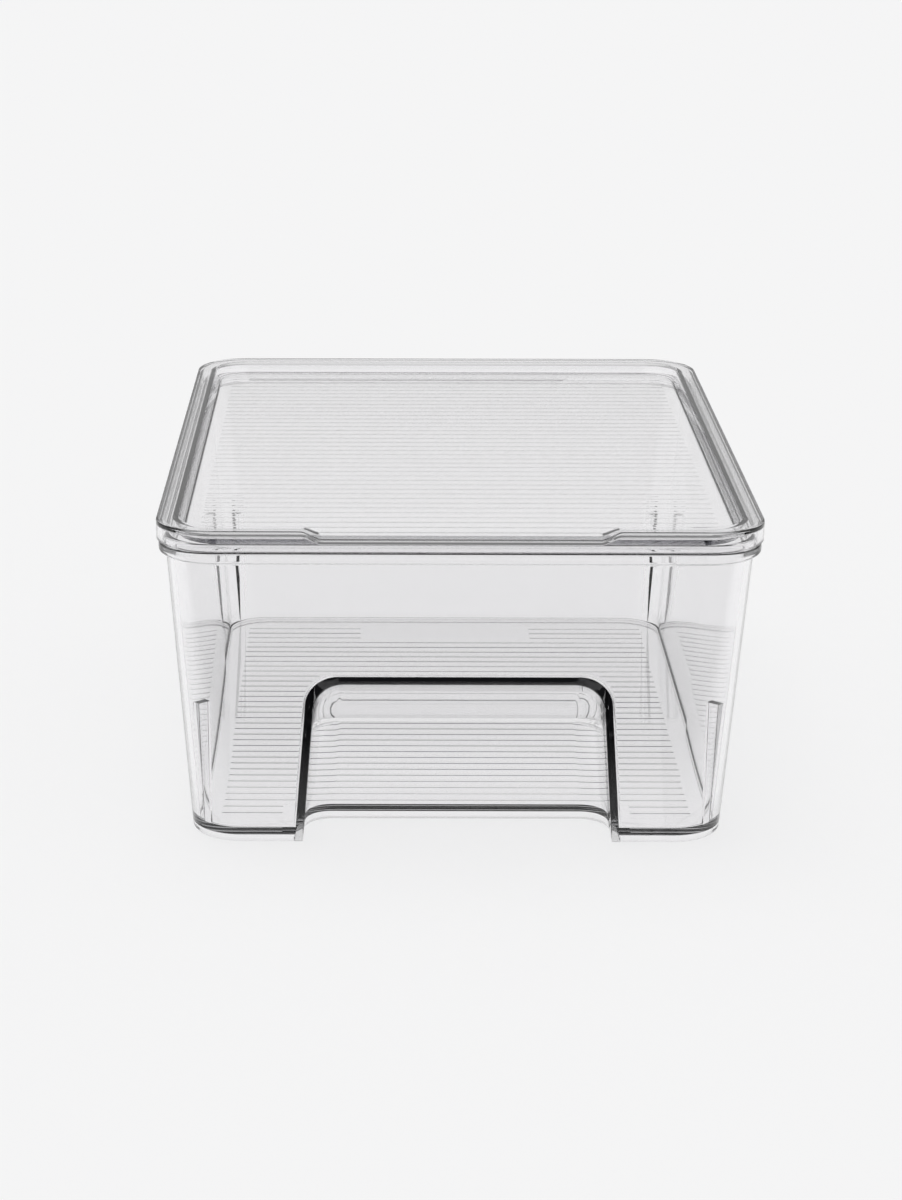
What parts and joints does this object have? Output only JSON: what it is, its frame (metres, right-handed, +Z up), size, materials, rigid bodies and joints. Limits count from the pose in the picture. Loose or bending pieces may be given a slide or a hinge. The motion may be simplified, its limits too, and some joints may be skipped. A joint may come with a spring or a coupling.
{
  "type": "storage box with lid",
  "caption": "Clear plastic storage box with ribbed floor, front finger pull and a recessed lift-off lid that boxes stack on.",
  "frame": {"origin": "middle of the base, on the surface that the box stands on", "axes": "+Z up, -Y out of the front with the finger pull, +X to the right seen from the front"},
  "size_m": [0.2, 0.25, 0.112],
  "materials": {
    "box_clear": "clear, polished, thin-walled",
    "lid_clear": "clear, polished, thin-walled"
  },
  "bodies": {
    "box": {"box_body": "box_clear"},
    "cover": {"lid": "lid_clear"}
  },
  "joints": [
    {"name": "lid_lift", "type": "slide", "parent": "box", "child": "cover", "axis": [0, 0, 1], "range_m": [0, 0.12]}
  ]
}
